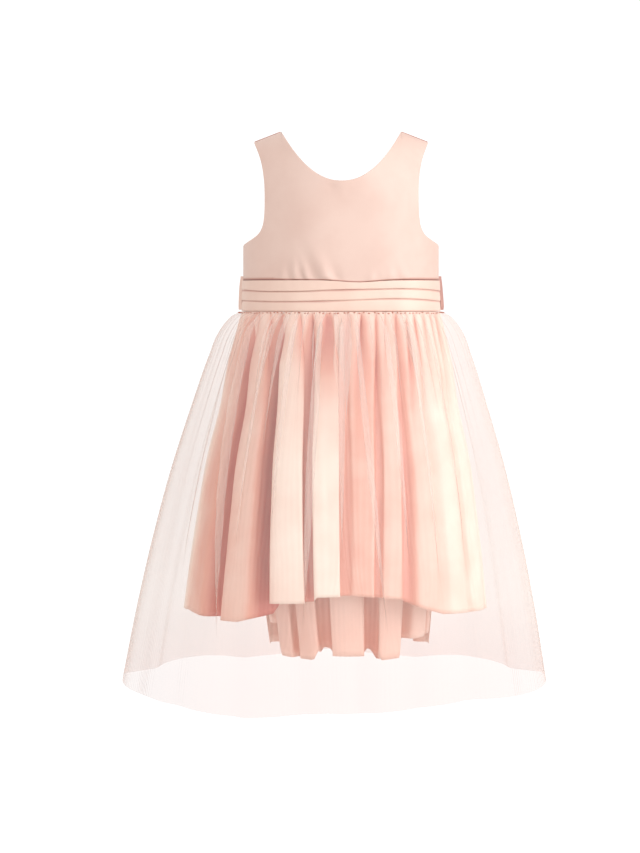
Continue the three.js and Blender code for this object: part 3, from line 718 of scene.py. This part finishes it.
# Satin skirt: two straight widths of duchess satin gathered into the waist seam. The stiff cloth falls in
# deep tube folds, set unevenly round the front, with a hem that rises at the centre front.
SATIN = {
    "shift": -6,
    "bulge": 0.07,
    "tube": 0.03,
    "columns_per_fold": 36,
    "rows": 80,
    "rings": [
        (-187.3, 103.8, 76.3, 0), (-196, 106.5, 79.5, 3), (-212, 110.5, 84.5, 6.5), (-240, 117.5, 92, 11),
        (-285, 125, 100, 15), (-340, 138, 111, 18), (-390, 146, 118, 20), (-440, 153, 124, 21),
        (-499, 160, 130, 21),
    ],
    "ridges": [
        (-90, -90, 0.00, 0.12, 0.0, 0.00),
        (-76, -73, 0.35, 1.70, 0.0, 0.02),
        (-48, -43.5, 0.20, 1.50, 0.08, 0.02),
        (-27, -16.5, 0.00, 0.80, 0.08, 0.13),
        (-8.4, -3.6, 0.00, 0.30, -0.1, 0.12),
        (13, 12.0, 0.30, 0.24, 0.0, 0.03),
        (26.4, 20.5, 0.25, 0.34, 0.0, 0.04),
        (41, 37.5, 0.22, 0.08, 0.0, 0.00),
        (56, 54, 0.05, 0.12, 0.0, 0.00),
        (74, 71, 0.00, 0.10, 0.0, 0.00),
    ],
    "back_folds": 9,
    "back_rhythm": [0.7, 0.95, 0.6],
    "hem_line": [
        (-90, 0), (-60, -4), (-40, -3), (-30, 4), (-26, 18), (-9, 20), (-7, 26), (6, 27),
        (14, 25), (26, 22), (34, 12), (45, 4), (90, 0),
    ],
    "back_hem": 2,
    "gathers": 21,
    "gather_depths": [(-187.3, 0.3), (-193, 2.6), (-210, 3), (-245, 1.6), (-300, 0.4), (-360, 0)],
    "gather_swing": 0.5,
    "calm_sides": 0.3,
    "ripple": 0.8,
    "crimps": 0,
    "laps": [],
}
# Satin skirt colours: its own tone on a crest, then painted shade half way down and deep in a fold.
skirt_satin = satin("duchess_satin_skirt", ["#f8eadc", "#e0947d", "#c02e16"], 0.5, 1.6)
for side, name in ((-1, "satin_skirt_front"), (1, "satin_skirt_back")):
    grid, depth = skirt_grid(SATIN, side)
    piece = cloth_object(name + "_folds", grid, skirt_satin, 0.8, 0.9 * depth)
    put_on(piece, "skirt_satin", name)

# Tulle overskirt: two widths of soft nylon net gathered into the same seam, with a raw cut hem.
# Single cloth is very sheer; where a fold rolls over itself three layers lie together and show whiter.
TULLE = {
    "shift": -7,
    "bulge": 0.03,
    "tube": 0.0,
    "columns_per_fold": 80,
    "rows": 100,
    "rings": [
        (-187.3, 105.2, 77.7, 0), (-191, 113, 86, 2), (-197, 119.5, 92.5, 4), (-209, 128, 100, 5),
        (-234, 138, 110, 5), (-285, 155, 127, 5), (-350, 175, 145, 6), (-425, 194, 162, 7),
        (-500, 210, 176, 8), (-575, 223.5, 187, 9),
    ],
    "ridges": [
        (-90, -90, 0.0, 0.0, 0, 0),
        (-74, -72, 0.0, 0.1, 0, 0),
        (-58, -55, 0.0, 0.4, 0, 0),
        (-41, -36, 0.0, 0.6, 0, 0),
        (-24, -18, 0.1, 0.6, 0, 0),
        (-6, 0, 0.0, 0.7, 0, 0),
        (14, 13, 0.1, 0.5, 0, 0),
        (33, 30, 0.0, 0.6, 0, 0),
        (50, 49, 0.0, 0.3, 0, 0),
        (70, 70, 0.0, 0.1, 0, 0),
    ],
    "back_folds": 10,
    "back_rhythm": [0.3, 0.8, 0.6, 0.9, 0.5],
    "hem_line": [
        (-90, 0), (-60, -3), (-36, -10), (-25, -13), (-14, -9), (-2, -5),
        (6, -6), (20, -3), (35, 2), (60, -2), (90, 0),
    ],
    "back_hem": 3,
    "gathers": 34,
    "gather_depths": [
        (-187.3, 0.6), (-192, 2.4), (-208, 3), (-245, 2.1),
        (-290, 1.0), (-340, 0.3), (-400, 0), (-575, 0),
    ],
    "gather_swing": 0.62,
    "calm_sides": 0.95,
    "ripple": 1.2,
    "crimps": 150,
    "crimp_height": 0.18,
    "laps": [
        {"waist": -57, "hem": -50, "band": 5, "end": -460, "height": 2.0},
        {"waist": -50, "hem": -31, "band": 8, "end": -520, "height": -2.5},
        {"waist": -36, "hem": -30, "band": 6, "end": -450, "height": 2.0},
        {"waist": -23, "hem": -19, "band": 6, "end": -430, "height": -2.0},
        {"waist": -10, "hem": -9, "band": 7, "end": -520, "height": 2.5},
        {"waist": 0, "hem": 2, "band": 7, "end": -460, "height": -2.5},
        {"waist": 7, "hem": 15.5, "band": 5, "end": -520, "height": 2.5},
        {"waist": 21, "hem": 22, "band": 6, "end": -450, "height": 2.5},
        {"waist": 33, "hem": 29, "band": 6, "end": -470, "height": -2.0},
        {"waist": 46, "hem": 39, "band": 5, "end": -450, "height": -1.5},
        {"waist": 124, "hem": 128, "band": 5, "end": -450, "height": 1.5},
        {"waist": 150, "hem": 152, "band": 6, "end": -430, "height": -2.0},
        {"waist": 171, "hem": 168, "band": 4, "end": -520, "height": 2.0},
        {"waist": 201, "hem": 203, "band": 6, "end": -440, "height": -2.0},
        {"waist": 231, "hem": 228, "band": 5, "end": -450, "height": 1.5},
    ],
}
TULLE_COVER = 0.25


def blend(tree, amount, colour, painted_light_and_shade):
    """Mixes an amount of one sRGB colour into a colour that another node gives; on the net it paints light
    and shade.
    """
    mix = {"data_type": "RGBA", 7: linear(painted_light_and_shade)}
    return add_node(tree, "ShaderNodeMix", mix, Factor=amount, i6=colour).outputs[2]


def net(name, colour):
    """Soft nylon tulle: a knitted net of hexagonal holes, finer than the render's pixels, so its cover is one
    even see-through value, with a faint cloudiness where the net is drawn closer. Over the middle of the
    satin it is painted lighter, a painted light for what the satin throws back. Low in front, below the
    satin, it is painted darker, a painted shade for the skirt's own shade, and it is painted warmest under
    the middle of the satin's hem, a painted glow for the light that the hem shines on it.
    Distances are in metres from the middle, and heights below the shoulders."""
    material = bpy.data.materials.new(name)
    material.use_nodes = True
    tree = material.node_tree
    tree.nodes.clear()
    place = add_node(tree, "ShaderNodeTexCoord", {})
    cloud = add_node(tree, "ShaderNodeTexNoise", {"Scale": 30, "Detail": 3}, Vector=place.outputs["Object"])
    tint = add_node(
        tree, "ShaderNodeMix", {"data_type": "RGBA", 6: linear(colour), 7: linear("#d6bdb0")},
        Factor=cloud.outputs["Fac"],
    )
    axes = add_node(tree, "ShaderNodeSeparateXYZ", {}, Vector=place.outputs["Object"])
    from_middle = add_node(tree, "ShaderNodeMath", {"operation": "ABSOLUTE"}, i0=axes.outputs["X"])
    # Painted light: the net over the middle of the satin is painted paler.
    over_satin = ramp(tree, from_middle.outputs[0], 0.15, 0.08, 0, 0.6)
    lit = blend(tree, over_satin, tint.outputs[2], "#f0e0d9")
    # Painted shade: the net low in front, below the satin, is painted darker.
    in_front = ramp(tree, axes.outputs["Y"], 0.02, -0.1, 0, 1)
    low = add_node(
        tree, "ShaderNodeMapRange", {"From Min": -0.48, "From Max": -0.56, "To Min": 0},
        Value=axes.outputs["Z"], To_Max=in_front,
    )
    painted_low_shade = blend(tree, low.outputs["Result"], lit, "#b89f99")
    # Painted glow: the net under the middle of the satin's hem is painted warm pink.
    around_hem = {"Location": (0, 0, 0.6 / 0.16), "Scale": (1 / 0.27, 0, 1 / 0.16)}
    from_hem = add_node(tree, "ShaderNodeMapping", around_hem, Vector=place.outputs["Object"])
    round_spot = {"gradient_type": "SPHERICAL"}
    nearness = add_node(tree, "ShaderNodeTexGradient", round_spot, Vector=from_hem.outputs["Vector"])
    painted_hem_glow = ramp(tree, nearness.outputs["Fac"], 0, 0.6, 0, 0.75)
    painted_light_and_shade = blend(tree, painted_hem_glow, painted_low_shade, "#d89f8c")
    finish = {"Roughness": 0.9, "Alpha": TULLE_COVER, "IOR": 1.3}
    shader = add_node(tree, "ShaderNodeBsdfPrincipled", finish, Base_Color=painted_light_and_shade)
    add_node(tree, "ShaderNodeOutputMaterial", {}, Surface=shader.outputs["BSDF"])
    return material


tulle_net = net("soft_nylon_tulle", "#d9c6bb")
for side, name in ((-1, "tulle_skirt_front"), (1, "tulle_skirt_back")):
    grid, depth = skirt_grid(TULLE, side)
    piece = cloth_object(name + "_net", grid, tulle_net)
    put_on(piece, "tulle", name)

# Back closing: four small domed buttons covered in the bodice satin, each with a loop of turned satin
# cord that reaches over from the other edge.
BUTTON_RADIUS = 5.5
BUTTON_HEIGHT = 4
BUTTON_X = -6.5
BUTTONS = [(1, -68, 75.45), (2, -98, 75.45), (3, -128, 75.45), (4, -171, 77.95)]
BUTTON_PROFILE = [
    (0.001, 0), (0.5, 0), (0.8, 0), (0.95, 0.12), (1, 0.32), (0.97, 0.52),
    (0.88, 0.7), (0.72, 0.84), (0.5, 0.94), (0.25, 0.985), (0.001, 1),
]
CORD_RADIUS = 0.8
CORD_LOOP = [
    (3, 0.3, 4.5), (-3, 0.9, 5.2), (-9, 0.9, 5.4), (-12.6, 0.9, 2.6),
    (-12.9, 0.9, -1.5), (-9.6, 0.9, -5.2), (-3, 0.9, -5.4), (3, 0.3, -4.5),
]


def dome_grid(centre):
    """A button's outline of (radius, height) shares, turned round its own axis along Y: flat underneath, a
    bellied edge and a domed top."""
    turn = np.linspace(0, 2 * math.pi, 49)[None, :]
    radius, height = np.array(BUTTON_PROFILE).T[:, :, None]
    x = centre[0] + BUTTON_RADIUS * radius * np.cos(turn)
    y = centre[1] + BUTTON_HEIGHT * height
    z = centre[2] + BUTTON_RADIUS * radius * np.sin(turn)
    return np.stack(np.broadcast_arrays(x, y, z), axis=-1)[::-1]


def cord_grid(line, radius):
    """A round section carried along a line: its two radial directions are a fixed one and its cross product
    with the line's direction."""
    centre = curve_through(line, 60)
    step = np.gradient(centre, axis=0)
    step /= np.linalg.norm(step, axis=1, keepdims=True)
    outward_axis = np.array([0.0, 1.0, 0.0])
    sideways = np.cross(step, outward_axis)
    sideways /= np.linalg.norm(sideways, axis=1, keepdims=True)
    rise = np.cross(sideways, step)
    turn = np.linspace(0, 2 * math.pi, 17)[None, :, None]
    return centre[:, None] + radius * (np.cos(turn) * sideways[:, None] + np.sin(turn) * rise[:, None])


for number, z, seat in BUTTONS:
    dome = cloth_object(f"back_button_{number}_dome", dome_grid((BUTTON_X, seat, z)), bodice_satin)
    put_on(dome, "button", f"back_button_{number}")
    loop_line = [(x, seat + out, z + up) for x, out, up in CORD_LOOP]
    loop = cloth_object(f"button_loop_{number}", cord_grid(loop_line, CORD_RADIUS), bodice_satin)
    put_on(loop, "button")

# Sewing: the waist seam is overcast with a reddish-brown thread whose stitches show as small uneven dots
# below the band; the dark dots also stand for painted shade between the tight gathers there. Each
# shoulder seam shows as a narrow pressed edge, coloured dark as a painted shade where the shoulder turns
# away to the back.
STITCH_SPACING = 4.6
STITCH_LENGTH = 2.4
STITCH_RADIUS = 0.7
STITCH_OFFSET = 6.2
STITCH_HEIGHT = -188.5
STITCHED_TO = 82
STITCH_PROFILE = [-1, -0.8, -0.4, 0, 0.4, 0.8, 1]
STITCH_UNEVENNESS = {"along": 0.22, "height": 0.5, "slant": 0.35, "shortest": 0.7, "longest": 1.2}
SEAM_EDGE_RADIUS = 0.5
SEAM_EDGE_RISE = 0.2
SEAM_EDGE_STOPS = (NECK_HALF_WIDTH + 0.8, 70, 80, ARMHOLE[0][0] - 0.8)


def stitch_ring(side):
    """Small spindles along the waist: the section's radius is STITCH_RADIUS * sqrt(1 - s ** 2) at share s of
    the half length, and each stitch is shifted and turned a little by its own random amount."""
    random = np.random.default_rng(5)
    half_girth = math.pi * (CHEST_HALF_WIDTH + CHEST_HALF_DEPTH) / 2
    count = int(half_girth / STITCH_SPACING)
    own = STITCH_UNEVENNESS
    share = (np.arange(count) + 0.5 + random.uniform(-own["along"], own["along"], count)) / count
    angle = np.radians(180 * (side > 0) - STITCHED_TO + 2 * STITCHED_TO * share)
    height = STITCH_HEIGHT + random.uniform(-own["height"], own["height"], count)
    centre = waist_ring(angle, STITCH_OFFSET, height, side)
    slant = random.uniform(-own["slant"], own["slant"], count)
    tangent = np.stack([np.cos(angle), np.sin(angle), slant], axis=-1)
    normal = np.stack([np.sin(angle), -np.cos(angle), np.zeros(count)], axis=-1)
    rise = np.cross(normal, tangent)
    s = np.array(STITCH_PROFILE)[:, None]
    turn = np.linspace(0, 2 * math.pi, 7)[None, :]
    radius = STITCH_RADIUS * np.sqrt(np.clip(1 - s**2, 0.0004, 1))
    half_length = STITCH_LENGTH / 2 * random.uniform(own["shortest"], own["longest"], count)
    along = half_length[:, None, None, None] * s[None, :, :, None] * tangent[:, None, None, :]
    out = np.cos(turn)[..., None] * normal[:, None, None, :]
    up = np.sin(turn)[..., None] * rise[:, None, None, :]
    return centre[:, None, None, :] + along + radius[..., None] * (out + up)


# The thread's dark reddish-brown also paints shade: below the band between the gathers, and along the
# shoulder tops.
thread_and_shade = satin("thread_and_painted_shade", ["#a9614e", "#a9614e", "#8c4a3a"], 0.6, 1.45)
for side, name in ((-1, "front"), (1, "back")):
    stitches = stitch_ring(side)
    count, rows, columns = stitches.shape[:3]
    cell = (np.arange(rows - 1)[:, None] * columns + np.arange(columns - 1)).ravel()
    first = (np.arange(count)[:, None] * rows * columns + cell[None, :]).ravel()
    quads = np.stack([first, first + columns, first + columns + 1, first + 1], axis=1)
    mesh = bpy.data.meshes.new(f"waist_stitches_and_shade_{name}")
    mesh.from_pydata((stitches.reshape(-1, 3) / 1000).tolist(), [], quads.tolist())
    mesh.materials.append(thread_and_shade)
    ring = bpy.data.objects.new(f"waist_stitches_and_shade_{name}", mesh)
    bpy.context.collection.objects.link(ring)
    put_on(ring, "band_satin")

# A dark cord along each shoulder seam: painted shade where the shoulder turns to the back.
for xsign, name in ((-1, "left"), (1, "right")):
    line = [(xsign * x, 0, shoulder_height(x) + SEAM_EDGE_RISE) for x in SEAM_EDGE_STOPS]
    edge = cloth_object(f"shoulder_seam_{name}", cord_grid(line, SEAM_EDGE_RADIUS), thread_and_shade)
    put_on(edge, "bodice_satin")
